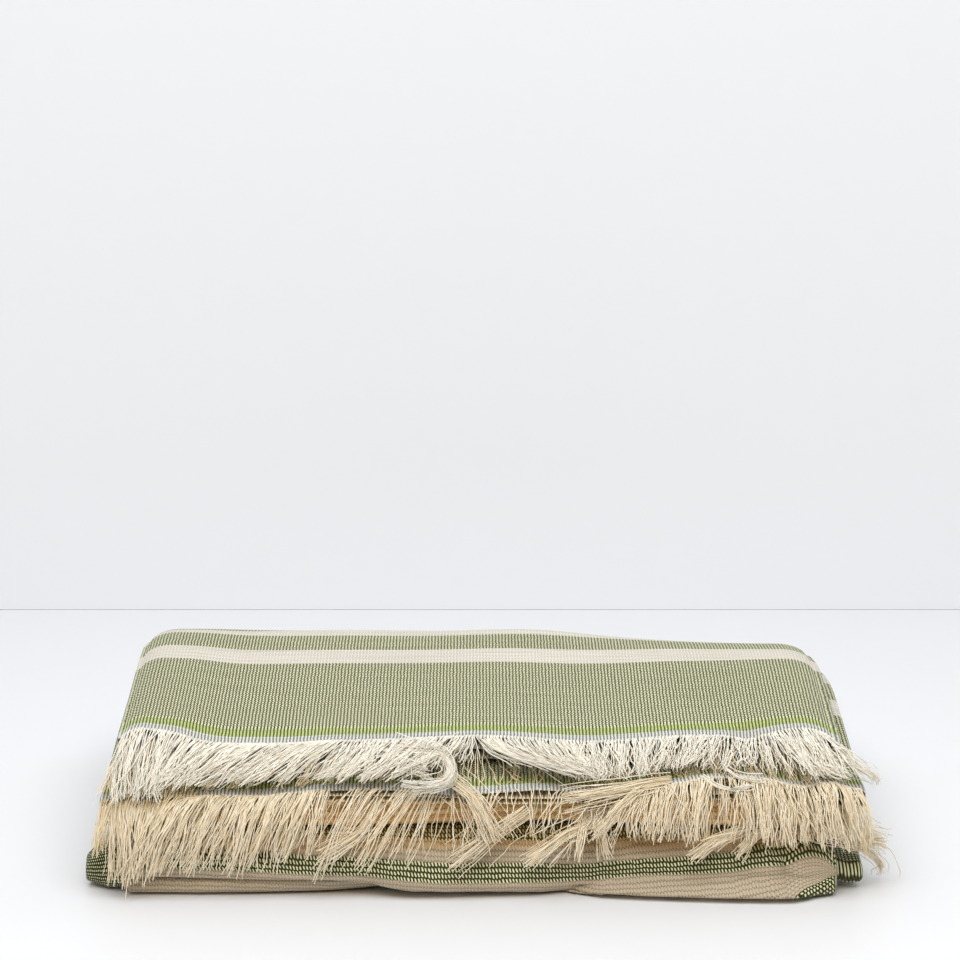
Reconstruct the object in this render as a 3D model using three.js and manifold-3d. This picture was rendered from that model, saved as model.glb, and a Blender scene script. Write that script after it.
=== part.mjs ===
// Folded beach towel: one flat-woven cotton cloth with a loose warp fringe at both short ends.
// It is folded in three across its width and in eight along its length, so that both fringed
// ends lie at the front. Millimetres, +Z up, +Y to the rear, +X to the right of the front.
import * as THREE from 'three';
import { mergeVertices } from 'three/addons/utils/BufferGeometryUtils.js';
import Module from 'manifold-3d';

const wasm = await Module();
wasm.setup();

// Driving dimensions
const CLOTH_THICKNESS = 1.1;
const PLIES = 24;
const PANELS = 3;
const CREST_HEIGHT = 80;
const CREST_PITCH = (CREST_HEIGHT - CLOTH_THICKNESS) / (PLIES - 1);

// The towel's length runs in eight legs from the upper fringed end to the lower one,
// to the rear and back to the front in turn; a leg's layer counts from the top.
const LEG_LAYERS = [1, 8, 5, 4, 3, 6, 7, 2];

// The two fold lines across the width, by leg: 0 is the upper end, whole numbers are
// the bends between two legs, 8 is the lower end
const FOLD_LINES = [
  { leg: 0, left: -162, right: 159 },
  { leg: 1, left: -163, right: 160 },
  { leg: 1.5, left: -168, right: 167 },
  { leg: 1.85, left: -158, right: 161 },
  { leg: 2, left: -153, right: 157 },
  { leg: 2.15, left: -158, right: 161 },
  { leg: 2.6, left: -170, right: 166 },
  { leg: 3, left: -168, right: 165 },
  { leg: 4, left: -165, right: 166 },
  { leg: 5, left: -168, right: 164 },
  { leg: 6, left: -171, right: 167 },
  { leg: 7, left: -166, right: 165 },
  { leg: 8, left: -167, right: 168 },
];

// How high the plies lie where the stack is pressed down at the front, by the number
// of plies below
const FRONT_HEIGHTS = [
  { plies: 0, height: 0 },
  { plies: 11.5, height: 18.4 },
  { plies: 17.5, height: 35.4 },
  { plies: 20.5, height: 42.4 },
  { plies: 23.5, height: 57.9 },
];
const SINK_MIDDLE = -40;
const SINK_HALF_SPAN = 100;

// Softer outline: behind its crest the stack falls away to the rear, its right rear
// sags, and the sides round off
const REAR_FALL = { crestY: 36, radius: 62, slope: 0.34 };
const REAR_SAG = { depth: 7.5, fromX: 15, toX: 115, fromY: 8, toY: 62 };
const SHOULDER = { left: -163, right: 160, width: 15, share: 0.11 };

// Where the two cloth ends lie along Y, by X
const UPPER_EDGE = [
  { x: -175, y: -79 },
  { x: -145, y: -71 },
  { x: -110, y: -86 },
  { x: -60, y: -84 },
  { x: 0, y: -79 },
  { x: 42, y: -85 },
  { x: 100, y: -79 },
  { x: 148, y: -72 },
  { x: 180, y: -79 },
];
const LOWER_EDGE = [
  { x: -175, y: -96 },
  { x: -120, y: -99 },
  { x: -50, y: -97 },
  { x: 20, y: -101 },
  { x: 80, y: -98 },
  { x: 120, y: -94 },
  { x: 180, y: -98 },
];

// Folds: where the outermost bend ends, how far each ply inside it ends short of the
// last, and how deep the bend's arc is for each millimetre of its half height
const REAR_FOLD = { tip: 112, step: 2, maxDepth: 22, halfPlies: 11.5 };
const FRONT_FOLD = { tip: -112, step: 1.95, depth: 1.05, pitch: 1.75, halfPlies: 5.5 };
const MIDDLE_FOLD = { tip: -90, step: 4, depth: 0.85, pitch: 3.2, halfPlies: 2.5 };
const ROLLS = { count: 3, depth: 2.8 };
const FRONT_WAVE = { height: 2.2, length: 190, phase: 0.7 };

// Mesh steps
const PANEL_STATIONS = [0, 0.03, 0.09, 0.29, 0.53, 0.77, 0.92, 0.972, 1];
const LEG_STATIONS = [-68, -22, 30];
const BEND_STEPS = [7, 7, 4, 9, 6, 4, 7];
const SIDE_STEPS = { left: 3, right: 3 };
const FREE_EDGE_INSET = 4;

// Fringe: a narrow strip along each cloth end, with locks of warp yarn in three rows.
// reach and fall are how far a full-length lock comes forward and down from its root;
// shift is how far its tip is swept sideways, and length its share of the full length.
const STRIP = { gap: 0.4, depth: 2.4 };
const LOCK = { rootDepth: 0.5, bowShift: 0.3, unevenness: 0.24 };
const LOCK_SECTIONS = [
  { place: 0, width: 3.6, height: 0.7 },
  { place: 0.42, width: 3.6, height: 1.2 },
  { place: 0.76, width: 2, height: 1.2 },
];
const UPPER_FRINGE = {
  rows: [
    { panel: 0, locks: 58, reach: 24.5, fall: 16.5 },
    { panel: 1, locks: 20, reach: 16, fall: 6 },
    { panel: 2, locks: 20, reach: 14, fall: 3.5 },
  ],
  lay: [
    { x: -175, shift: -7, length: 1 },
    { x: -130, shift: -17, length: 1.05 },
    { x: -70, shift: -14, length: 0.95 },
    { x: 10, shift: 3, length: 0.9 },
    { x: 90, shift: -4, length: 1 },
    { x: 150, shift: 8, length: 1 },
    { x: 180, shift: 13, length: 1 },
  ],
  bowReach: 0.6,
  bowFall: 0.25,
};
const LOWER_FRINGE = {
  rows: [
    { panel: 2, locks: 58, reach: 20, fall: 33 },
    { panel: 1, locks: 20, reach: 13, fall: 18 },
    { panel: 0, locks: 20, reach: 10, fall: 13 },
  ],
  lay: [
    { x: -175, shift: -2, length: 1.12 },
    { x: -130, shift: 1, length: 1.1 },
    { x: -70, shift: -17, length: 0.95 },
    { x: 0, shift: -12, length: 0.95 },
    { x: 80, shift: -3, length: 0.92 },
    { x: 150, shift: 6, length: 0.98 },
    { x: 180, shift: 11, length: 1 },
  ],
  bowReach: 0.85,
  bowFall: 0.16,
};
const END_INSET = { free: 0.03, fold: 0.008 };

const smooth = (t) => {
  const s = Math.min(Math.max(t, 0), 1);
  return s * s * (3 - 2 * s);
};

// Value of a named column at a place along a table's key column, eased between its rows
function tableValue(rows, key, value, at) {
  const last = rows.length - 1;
  if (at <= rows[0][key]) return rows[0][value];
  if (at >= rows[last][key]) return rows[last][value];
  const next = rows.findIndex((row) => row[key] >= at);
  const a = rows[next - 1];
  const b = rows[next];
  const share = (at - a[key]) / (b[key] - a[key]);
  return a[value] + (b[value] - a[value]) * smooth(share);
}

function frontHeight(level) {
  const next = Math.max(FRONT_HEIGHTS.findIndex((row) => row.plies >= level), 1);
  const a = FRONT_HEIGHTS[next - 1];
  const b = FRONT_HEIGHTS[next];
  return a.height + ((b.height - a.height) * (level - a.plies)) / (b.plies - a.plies);
}

// How far the top lies below the crest at a place along Y, first on an arc, then straight
function rearDrop(y) {
  const { crestY, radius, slope } = REAR_FALL;
  const behind = Math.max(y - crestY, 0);
  const arc = Math.min(behind, slope * radius);
  return (arc * arc) / (2 * radius) + slope * (behind - arc);
}

// Height of a ply's middle at a place, by its level, the number of plies below: even at
// the crest, pressed down toward the front, falling to the rear, rounded at the sides
function stackHeight(x, y, level) {
  const angle = ((y - SINK_MIDDLE) / SINK_HALF_SPAN) * (Math.PI / 2);
  const share = 0.5 * (1 - Math.sin(Math.min(Math.max(angle, -Math.PI / 2), Math.PI / 2)));
  const flat = level * CREST_PITCH * (1 - share) + frontHeight(level) * share;
  const across = smooth((x - REAR_SAG.fromX) / (REAR_SAG.toX - REAR_SAG.fromX));
  const along = smooth((y - REAR_SAG.fromY) / (REAR_SAG.toY - REAR_SAG.fromY));
  const sag = (REAR_SAG.depth * across * along + rearDrop(y)) / CREST_HEIGHT;
  const side = x < 0 ? SHOULDER.left - x : x - SHOULDER.right;
  const near = Math.min(Math.max(side / SHOULDER.width + 1, 0), 0.98);
  const round = SHOULDER.share * (1 - Math.sqrt(1 - near * near)) * (level / PLIES);
  return CLOTH_THICKNESS / 2 + flat * (1 - sag) * (1 - round);
}

// Level of a panel (0 the middle third, 1 the left flap, 2 the right flap) in a leg.
// Legs in odd layers lie with the middle third up, the others with it down.
function levelOf(leg, panel) {
  const layer = LEG_LAYERS[leg];
  const above = layer % 2 === 1 ? PANELS * (layer - 1) + panel : PANELS * layer - 1 - panel;
  return PLIES - 1 - above;
}

function frontWave(x) {
  return FRONT_WAVE.height * Math.sin((x / FRONT_WAVE.length) * 2 * Math.PI + FRONT_WAVE.phase);
}

const isMiddleBend = (leg) => LEG_LAYERS[leg] === 4;

// Tip and depth along Y of the bend that follows a leg, for a panel
function bendAfter(leg, panel, x) {
  const half = Math.abs(levelOf(leg, panel) - levelOf(leg + 1, panel)) / 2;
  if (leg % 2 === 0) {
    const depth = REAR_FOLD.maxDepth * Math.tanh((half * CREST_PITCH) / REAR_FOLD.maxDepth);
    return { tip: REAR_FOLD.tip - REAR_FOLD.step * (REAR_FOLD.halfPlies - half), depth };
  }
  const fold = isMiddleBend(leg) ? MIDDLE_FOLD : FRONT_FOLD;
  const tip = fold.tip + fold.step * (fold.halfPlies - half) + frontWave(x);
  return { tip, depth: -fold.depth * fold.pitch * half };
}

// Y and level on the bend after a leg; turn runs from 0 to 1. The towel's middle is
// buckled into rolls on its outer ply.
function bendPlace(leg, panel, x, turn) {
  const bend = bendAfter(leg, panel, x);
  const rise = isMiddleBend(leg) ? turn : (1 - Math.cos(turn * Math.PI)) / 2;
  const arc = Math.sqrt(Math.max(1 - (2 * rise - 1) ** 2, 0));
  const from = levelOf(leg, panel);
  const level = from + (levelOf(leg + 1, panel) - from) * rise;
  const rolls = isMiddleBend(leg) ? ROLLS.depth * Math.max(1 - panel, 0) : 0;
  const trough = rolls * (1 - Math.abs(Math.sin(rise * ROLLS.count * Math.PI)));
  return { y: bend.tip - bend.depth + (bend.depth + trough) * arc, level };
}

// The rows of the mesh along the towel's length: the upper end, each leg's stations with
// the bend that follows, and the lower end
const lengthRows = [{ leg: 0, kind: 'end', place: 0 }];
LEG_LAYERS.forEach((layer, leg) => {
  const stations = leg % 2 === 0 ? LEG_STATIONS : [...LEG_STATIONS].reverse();
  stations.forEach((y, i) => {
    lengthRows.push({ leg, kind: 'leg', y, place: (i + 1) / (stations.length + 1) });
  });
  for (let step = 0; step <= BEND_STEPS[leg]; step += 1) {
    lengthRows.push({ leg, kind: 'bend', turn: step / BEND_STEPS[leg], place: 1 });
  }
});
lengthRows.push({ leg: LEG_LAYERS.length - 1, kind: 'end', place: 1 });

const foldLine = (row, side) => tableValue(FOLD_LINES, 'leg', side, row.leg + row.place);

// A point of the cloth's middle surface: row along the length, panel and X across it
function clothPoint(row, panel, x) {
  let y = row.y;
  let level = levelOf(row.leg, panel);
  if (row.kind === 'end') {
    y = tableValue(row.leg === 0 ? UPPER_EDGE : LOWER_EDGE, 'x', 'y', x);
  }
  if (row.kind === 'bend') {
    const place = bendPlace(row.leg, panel, x, row.turn);
    y = place.y;
    level = place.level;
  }
  return new THREE.Vector3(x, y, stackHeight(x, y, level));
}

// The columns of the mesh across the width, from the right flap's free edge over the
// middle third to the left flap's free edge
function columnsOf(row) {
  const left = foldLine(row, 'left');
  const right = foldLine(row, 'right');
  const width = right - left;
  const inset = FREE_EDGE_INSET / width;
  const columns = [];
  const panelPoint = (panel, share) => columns.push(clothPoint(row, panel, left + share * width));
  const sideBend = (from, to, x, outward, steps) => {
    const radius = clothPoint(row, from, x).distanceTo(clothPoint(row, to, x)) / 2;
    for (let step = 1; step < steps; step += 1) {
      const turn = (step / steps) * Math.PI;
      const panel = from + ((to - from) * (1 - Math.cos(turn))) / 2;
      const point = clothPoint(row, panel, x);
      point.x += outward * radius * Math.sin(turn);
      columns.push(point);
    }
  };
  PANEL_STATIONS.forEach((share) => panelPoint(2, Math.max(share, inset)));
  sideBend(2, 0, right, 1, SIDE_STEPS.right);
  [...PANEL_STATIONS].reverse().forEach((share) => panelPoint(0, share));
  sideBend(0, 1, left, -1, SIDE_STEPS.left);
  PANEL_STATIONS.forEach((share) => panelPoint(1, Math.min(share, 1 - inset)));
  return columns;
}

// Unit normals of a grid of points, from the neighbours along and across
function gridNormals(grid) {
  const last = grid.length - 1;
  return grid.map((points, r) => points.map((point, c) => {
    const end = points.length - 1;
    const along = grid[Math.min(r + 1, last)][c].clone().sub(grid[Math.max(r - 1, 0)][c]);
    const across = points[Math.min(c + 1, end)].clone().sub(points[Math.max(c - 1, 0)]);
    return across.cross(along).normalize();
  }));
}

// One closed solid from two grids of points that face each other
function closedSheet(outer, inner) {
  const rows = outer.length;
  const columns = outer[0].length;
  const positions = [outer, inner].flat(2).flatMap((point) => point.toArray());
  const at = (side, r, c) => side * rows * columns + r * columns + c;
  const faces = [];
  const quad = (a, b, c, d) => faces.push(a, b, c, a, c, d);
  for (let r = 0; r < rows - 1; r += 1) {
    for (let c = 0; c < columns - 1; c += 1) {
      quad(at(0, r, c), at(0, r, c + 1), at(0, r + 1, c + 1), at(0, r + 1, c));
      quad(at(1, r, c), at(1, r + 1, c), at(1, r + 1, c + 1), at(1, r, c + 1));
    }
    quad(at(0, r, 0), at(0, r + 1, 0), at(1, r + 1, 0), at(1, r, 0));
    const last = columns - 1;
    quad(at(0, r + 1, last), at(0, r, last), at(1, r, last), at(1, r + 1, last));
  }
  for (let c = 0; c < columns - 1; c += 1) {
    quad(at(0, 0, c + 1), at(0, 0, c), at(1, 0, c), at(1, 0, c + 1));
    quad(at(0, rows - 1, c), at(0, rows - 1, c + 1), at(1, rows - 1, c + 1), at(1, rows - 1, c));
  }
  const geometry = new THREE.BufferGeometry();
  geometry.setAttribute('position', new THREE.Float32BufferAttribute(positions, 3));
  geometry.setIndex(faces);
  return geometry;
}

const offsetGrid = (grid, normals, distance) => grid.map((points, r) => points.map(
  (point, c) => point.clone().addScaledVector(normals[r][c], distance),
));

const clothGrid = lengthRows.map((row) => columnsOf(row));
const clothNormals = gridNormals(clothGrid);

function clothGeometry() {
  const half = CLOTH_THICKNESS / 2;
  return closedSheet(offsetGrid(clothGrid, clothNormals, half), offsetGrid(clothGrid, clothNormals, -half));
}

function toManifold(geometry) {
  geometry.deleteAttribute('normal');
  geometry.deleteAttribute('uv');
  const merged = mergeVertices(geometry, 1e-4);
  return new wasm.Manifold(new wasm.Mesh({
    numProp: 3,
    vertProperties: new Float32Array(merged.attributes.position.array),
    triVerts: new Uint32Array(merged.index.array),
  }));
}

function fromManifold(solid) {
  const mesh = solid.getMesh();
  const geometry = new THREE.BufferGeometry();
  geometry.setAttribute('position', new THREE.BufferAttribute(mesh.vertProperties, 3));
  geometry.setIndex(new THREE.BufferAttribute(mesh.triVerts, 1));
  geometry.computeVertexNormals();
  return geometry;
}

// The strip runs along a cloth end, parted from it by a fine gap
function stripGeometry(edge, inward, normals, upper) {
  const half = CLOTH_THICKNESS / 2;
  const rail = (distance) => edge.map((point, c) => {
    const direction = point.clone().sub(inward[c]).normalize();
    return point.clone().addScaledVector(direction, distance);
  });
  const near = rail(STRIP.gap);
  const far = rail(STRIP.gap + STRIP.depth);
  const grid = upper ? [far, near] : [near, far];
  const faces = [normals, normals];
  return closedSheet(offsetGrid(grid, faces, half), offsetGrid(grid, faces, -half));
}

// Even but repeatable scatter between 0 and 1
const scatter = (seed) => {
  const wave = Math.sin(seed * 12.9898) * 43758.5453;
  return wave - Math.floor(wave);
};

// One lock: three-sided, tapering to a point along a bow that leaves the strip and falls
function lockGeometry(root, direction, row, fringe, seed) {
  const shift = tableValue(fringe.lay, 'x', 'shift', root.x);
  const length = tableValue(fringe.lay, 'x', 'length', root.x) * (1 - LOCK.unevenness * scatter(seed));
  const start = root.clone().addScaledVector(direction, STRIP.gap + STRIP.depth - LOCK.rootDepth);
  const bow = start.clone().add(new THREE.Vector3(
    shift * LOCK.bowShift,
    -row.reach * fringe.bowReach,
    -row.fall * fringe.bowFall,
  ));
  const tip = start.clone().add(new THREE.Vector3(shift, -row.reach, -row.fall));
  const curve = new THREE.QuadraticBezierCurve3(start, bow, tip);
  const positions = [];
  LOCK_SECTIONS.forEach(({ place, width, height }) => {
    const centre = curve.getPoint(place * length);
    const run = curve.getTangent(Math.min(place * length, 1));
    const side = new THREE.Vector3(1, 0, 0).addScaledVector(run, -run.x).normalize();
    const up = run.clone().cross(side).normalize();
    [[width / 2, -height / 2], [0, height / 2], [-width / 2, -height / 2]].forEach(([across, rise]) => {
      const corner = centre.clone().addScaledVector(side, across).addScaledVector(up, rise);
      positions.push(corner.x, corner.y, corner.z);
    });
  });
  const end = curve.getPoint(length);
  positions.push(end.x, end.y, end.z);
  const faces = [0, 2, 1];
  for (let ring = 0; ring < LOCK_SECTIONS.length - 1; ring += 1) {
    for (let side = 0; side < 3; side += 1) {
      const a = ring * 3 + side;
      const b = ring * 3 + ((side + 1) % 3);
      faces.push(a, b, b + 3, a, b + 3, a + 3);
    }
  }
  const base = (LOCK_SECTIONS.length - 1) * 3;
  for (let side = 0; side < 3; side += 1) {
    faces.push(base + side, base + ((side + 1) % 3), base + 3);
  }
  const geometry = new THREE.BufferGeometry();
  geometry.setAttribute('position', new THREE.Float32BufferAttribute(positions, 3));
  geometry.setIndex(faces);
  return geometry;
}

// Place and outward direction on the cloth end's edge line, at a share of a panel's width
function edgePlace(edge, inward, panel, share) {
  const stations = PANEL_STATIONS.length;
  const span = Math.min(Math.max(PANEL_STATIONS.findIndex((station) => station >= share), 1), stations - 1);
  const from = PANEL_STATIONS[span - 1];
  const part = (share - from) / (PANEL_STATIONS[span] - from);
  const first = {
    2: span - 1,
    0: stations + SIDE_STEPS.right - 1 + stations - span,
    1: 2 * stations + SIDE_STEPS.right + SIDE_STEPS.left - 2 + span - 1,
  }[panel];
  const [near, far] = panel === 0 ? [first, first - 1] : [first, first + 1];
  const point = edge[near].clone().lerp(edge[far], part);
  const behind = inward[near].clone().lerp(inward[far], part);
  return { root: point, direction: point.clone().sub(behind).normalize() };
}

// A fringe: the strip of one cloth end joined with its rows of locks
function fringeGeometry(fringe, rowIndex, inwardIndex) {
  const edge = clothGrid[rowIndex];
  const inward = clothGrid[inwardIndex];
  const strip = stripGeometry(edge, inward, clothNormals[rowIndex], rowIndex === 0);
  const solids = [toManifold(strip)];
  fringe.rows.forEach((line) => {
    const from = line.panel === 2 ? END_INSET.free : END_INSET.fold;
    const to = line.panel === 1 ? 1 - END_INSET.free : 1 - END_INSET.fold;
    for (let index = 0; index < line.locks; index += 1) {
      const share = from + ((to - from) * index) / (line.locks - 1);
      const { root, direction } = edgePlace(edge, inward, line.panel, share);
      const seed = index + 1 + line.panel * 97 + rowIndex;
      solids.push(toManifold(lockGeometry(root, direction, line, fringe, seed)));
    }
  });
  return fromManifold(solids.reduce((whole, solid) => whole.add(solid)));
}

const clothMaterial = new THREE.MeshStandardMaterial({ color: 0x9aa274, roughness: 0.95, metalness: 0 });
const fringeMaterial = new THREE.MeshStandardMaterial({ color: 0xd8cdb4, roughness: 0.95, metalness: 0 });

function namedMesh(name, geometry, material) {
  const mesh = new THREE.Mesh(geometry, material);
  mesh.name = name;
  return mesh;
}

const lastRow = lengthRows.length - 1;
const towel = new THREE.Group();
towel.add(namedMesh('towel_cloth', clothGeometry(), clothMaterial));
towel.add(namedMesh('fringe_upper', fringeGeometry(UPPER_FRINGE, 0, 1), fringeMaterial));
towel.add(namedMesh('fringe_lower', fringeGeometry(LOWER_FRINGE, lastRow, lastRow - 1), fringeMaterial));

// The origin is the middle of the whole towel's underside
const bounds = new THREE.Box3().setFromObject(towel);
const centre = bounds.getCenter(new THREE.Vector3());
towel.position.set(-centre.x, -centre.y, -bounds.min.z);

export default towel;
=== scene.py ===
import math

import bpy
import numpy as np
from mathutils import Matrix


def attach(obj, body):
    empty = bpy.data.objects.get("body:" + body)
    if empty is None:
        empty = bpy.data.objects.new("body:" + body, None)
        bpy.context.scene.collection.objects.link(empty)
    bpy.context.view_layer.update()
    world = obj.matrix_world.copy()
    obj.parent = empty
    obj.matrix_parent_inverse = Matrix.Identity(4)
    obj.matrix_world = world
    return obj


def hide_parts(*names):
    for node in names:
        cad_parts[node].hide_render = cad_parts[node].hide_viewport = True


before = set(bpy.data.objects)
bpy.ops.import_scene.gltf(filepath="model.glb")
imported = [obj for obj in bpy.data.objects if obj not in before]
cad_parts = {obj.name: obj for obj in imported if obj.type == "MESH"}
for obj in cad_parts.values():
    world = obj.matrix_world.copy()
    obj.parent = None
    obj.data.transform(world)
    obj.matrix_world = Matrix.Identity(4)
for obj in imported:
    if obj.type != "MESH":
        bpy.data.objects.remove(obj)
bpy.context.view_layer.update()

# The viewpoint of the picture: a long lens about a metre and a quarter in front of the
# folded towel, looking a little down on it.
bpy.ops.object.select_all(action="DESELECT")
bpy.ops.object.camera_add(location=(0.0001, -1.2369, 0.412), rotation=(math.radians(78.7), 0, 0))
camera = bpy.context.object
camera.name = "front_camera"
camera.data.sensor_width = 36
camera.data.lens = 101.25
bpy.context.scene.camera = camera

# The towel's cloth: one flat-woven cotton cloth about a metre wide, dyed green weft with cream
# stripes on an ecru warp. It is folded in three across its width and in eight along its length,
# pressed down at the front, so that both cut ends lie one above the other there.
MM = 0.001
ORIGIN = np.array([0.14, 5.14, 0.0])
THICKNESS = 1.1
PLIES = 24
CREST_HEIGHT = 80
CREST_PITCH = (CREST_HEIGHT - THICKNESS) / (PLIES - 1)
# layer of each run of cloth, counted from the top; even runs go to the rear
RUN_LAYERS = (1, 8, 5, 4, 3, 6, 7, 2)
# left and right fold lines by run; 2 is the bend after the second run
LEFT_FOLDS = (
    (0, -162), (1, -163), (1.5, -168), (1.85, -158), (2, -153), (2.15, -158), (2.6, -170),
    (3, -168), (4, -165), (5, -168), (6, -171), (7, -166), (8, -167),
)
RIGHT_FOLDS = (
    (0, 159), (1, 160), (1.5, 167), (1.85, 160), (2, 154.5), (2.15, 160), (2.6, 166), (3, 165),
    (4, 166), (5, 164), (6, 167), (7, 165), (8, 168),
)
# height at the pressed front by the number of plies below
FRONT_PLIES = (0, 11.5, 17.5, 20.5, 23.5)
FRONT_HEIGHTS = (0, 18.4, 35.4, 42.4, 57.9)
# behind its crest the stack falls away to the rear, its right rear sags, its sides round off
REAR_Y, REAR_RADIUS, REAR_SLOPE = 36, 62, 0.34
REAR_SAG = 7.5
LEFT_SHOULDER, RIGHT_SHOULDER = -163, 160
SHOULDER_WIDTH, SHOULDER_SHARE = 15, 0.11
# the two cut ends' y by x
UPPER_EDGE = (
    (-175, -69), (-157, -67), (-145, -70), (-110, -81), (-60, -81), (0, -77), (42, -80.5), (100, -76),
    (148, -69), (180, -74),
)
LOWER_EDGE = (
    (-175, -100), (-120, -103), (-50, -101), (20, -104), (80, -102), (120, -98), (180, -102),
)
RUN_ROWS = (44, 8, 8, 8, 8, 8, 8, 14)
BEND_ROWS = (18, 42, 12, 34, 12, 14, 14)
PANEL_COLUMNS = {2: 42, 0: 80, 1: 42}
SIDE_COLUMNS = 9
FREE_EDGE_INSET = 4


def smooth(t):
    t = np.clip(t, 0, 1)
    return t * t * (3 - 2 * t)


def eased(rows, at):
    """The value at a place, eased between the rows of (place, value)."""
    keys, values = np.array(rows, float).T
    at = np.asarray(at, float)
    i = np.clip(np.searchsorted(keys, at, side="right") - 1, 0, len(keys) - 2)
    return values[i] + (values[i + 1] - values[i]) * smooth((at - keys[i]) / (keys[i + 1] - keys[i]))


def level_of(run, panel):
    layer = RUN_LAYERS[run]
    above = 3 * (layer - 1) + panel if layer % 2 else 3 * layer - 1 - panel
    return PLIES - 1 - above


def pressed(y):
    """How far the stack is pressed down: 0 at its crest, 1 at the front."""
    turn = np.clip((y + 40) / 100, -1, 1) * math.pi / 2
    return 0.5 * (1 - np.sin(turn))


def stack_height(x, y, level):
    share = pressed(y)
    flat = level * CREST_PITCH * (1 - share) + np.interp(level, FRONT_PLIES, FRONT_HEIGHTS) * share
    behind = np.maximum(y - REAR_Y, 0)
    arc = np.minimum(behind, REAR_SLOPE * REAR_RADIUS)
    drop = arc * arc / (2 * REAR_RADIUS) + REAR_SLOPE * (behind - arc)
    sag = (REAR_SAG * smooth((x - 15) / 100) * smooth((y - 8) / 54) + drop) / CREST_HEIGHT
    side = np.where(x < 0, LEFT_SHOULDER - x, x - RIGHT_SHOULDER)
    near = np.clip(side / SHOULDER_WIDTH + 1, 0, 0.98)
    rounding = SHOULDER_SHARE * (1 - np.sqrt(1 - near * near)) * level / PLIES
    return THICKNESS / 2 + flat * (1 - sag) * (1 - rounding)


def bend_after(run, panel, x):
    """The y of the bend's tip, and its depth from there to the straight runs."""
    half = np.abs(level_of(run, panel) - level_of(run + 1, panel)) / 2
    if run % 2 == 0:
        return 112 - 2 * (11.5 - half), 22 * np.tanh(half * CREST_PITCH / 22)
    wave = 2.2 * np.sin(x / 190 * 2 * math.pi + 0.7)
    if run == 3:
        return -90 + 5 * (2.5 - half) + wave, -0.85 * 3.2 * half
    return -112 + 1.95 * (5.5 - half) + wave, -1.05 * 1.75 * half


def cloth_line(row, panel, x):
    """The y and z of one line across a panel of the folded cloth."""
    run, is_bend, t = row
    level = level_of(run, panel) + 0 * x
    turned = run + 0 * x
    if is_bend:
        tip, depth = bend_after(run, panel, x)
        rise = t if run == 3 else (1 - math.cos(math.pi * t)) / 2
        # the outer bend stands squarer on the table than it turns over at its top
        round_by = 2.8 if run == 1 and rise < 0.5 else 2
        arc = max(1 - abs(2 * rise - 1) ** round_by, 0) ** (1 / round_by)
        level = level + (level_of(run + 1, panel) - level) * rise
        trough = 0
        if run == 3:
            trough = 3.8 * np.clip(1 - panel, 0, 1) * (1 - abs(math.sin(3 * math.pi * rise)) ** 0.8)
        y = tip - depth + (depth + trough) * arc
        turned = turned + rise
    else:
        if run == 0:
            start = eased(UPPER_EDGE, x)
        else:
            tip, depth = bend_after(run - 1, panel, x)
            start = tip - depth
        if run == 7:
            end = eased(LOWER_EDGE, x)
        else:
            tip, depth = bend_after(run, panel, x)
            end = tip - depth
        y = start + (end - start) * t
    z = stack_height(x, y, level)
    # each ply's own gentle unevenness; the underside stays flat
    calm = smooth(level / 4) * (1 - 0.8 * pressed(y))
    z = z + 0.4 * calm * np.sin(x / 31 + 2.3 * turned + 1.9 * panel) * np.sin(y / 23 + 1.3 * turned + panel)
    z = z + 0.25 * calm * np.sin(x / 13 + 4.1 * turned + 2.9 * panel)
    return y, z


def cloth_row(row):
    """One row of cloth points: across the three panels and round the two side bends."""
    run, is_bend, t = row
    place = run + (1 if is_bend else t)
    left, right = float(eased(LEFT_FOLDS, place)), float(eased(RIGHT_FOLDS, place))
    width = right - left
    inset = FREE_EDGE_INSET / width
    x = np.where(column_side == 0, left + np.clip(column_share, 0, 1) * width, 0.0)
    x = np.where((column_panel == 2) & (column_side == 0), np.maximum(x, left + inset * width), x)
    x = np.where((column_panel == 1) & (column_side == 0), np.minimum(x, right - inset * width), x)
    x = np.where(column_side > 0, right, np.where(column_side < 0, left, x))
    y, z = cloth_line(row, column_panel, x)
    out = np.zeros_like(x)
    for side, edge, flap in ((1, right, 2), (-1, left, 1)):
        ends = [np.array(cloth_line(row, np.array([float(p)]), np.array([edge]))) for p in (flap, 0)]
        radius = np.linalg.norm(ends[0] - ends[1]) / 2
        out += np.where(column_side == side, side * radius * np.sin(column_turn), 0)
    return np.stack([x + out, y, z], axis=1)


def panel_shares(count):
    k = np.arange(count) / (count - 1)
    return 0.65 * k + 0.35 * (1 - np.cos(np.pi * k)) / 2


side_turns = np.arange(1, SIDE_COLUMNS + 1) / (SIDE_COLUMNS + 1) * np.pi
columns = []
columns += [(2.0, share, 0, 0.0) for share in panel_shares(PANEL_COLUMNS[2])]
columns += [(2 - (1 - math.cos(turn)), 1, 1, turn) for turn in side_turns]
columns += [(0.0, share, 0, 0.0) for share in panel_shares(PANEL_COLUMNS[0])[::-1]]
columns += [((1 - math.cos(turn)) / 2, 0, -1, turn) for turn in side_turns]
columns += [(1.0, share, 0, 0.0) for share in panel_shares(PANEL_COLUMNS[1])]
column_panel, column_share, column_side, column_turn = np.array(columns).T

rows = []
for run in range(8):
    count = RUN_ROWS[run]
    if run == 0:
        rows += [(0, False, t) for t in (0, 0.003, 0.007, 0.012)]
    rows += [(run, False, k / count) for k in range(1, count)]
    if run < 7:
        rows += [(run, True, k / BEND_ROWS[run]) for k in range(BEND_ROWS[run] + 1)]
rows += [(7, False, t) for t in (0.985, 0.993, 0.997, 1.0)]

folded = np.array([cloth_row(row) for row in rows])

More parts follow.
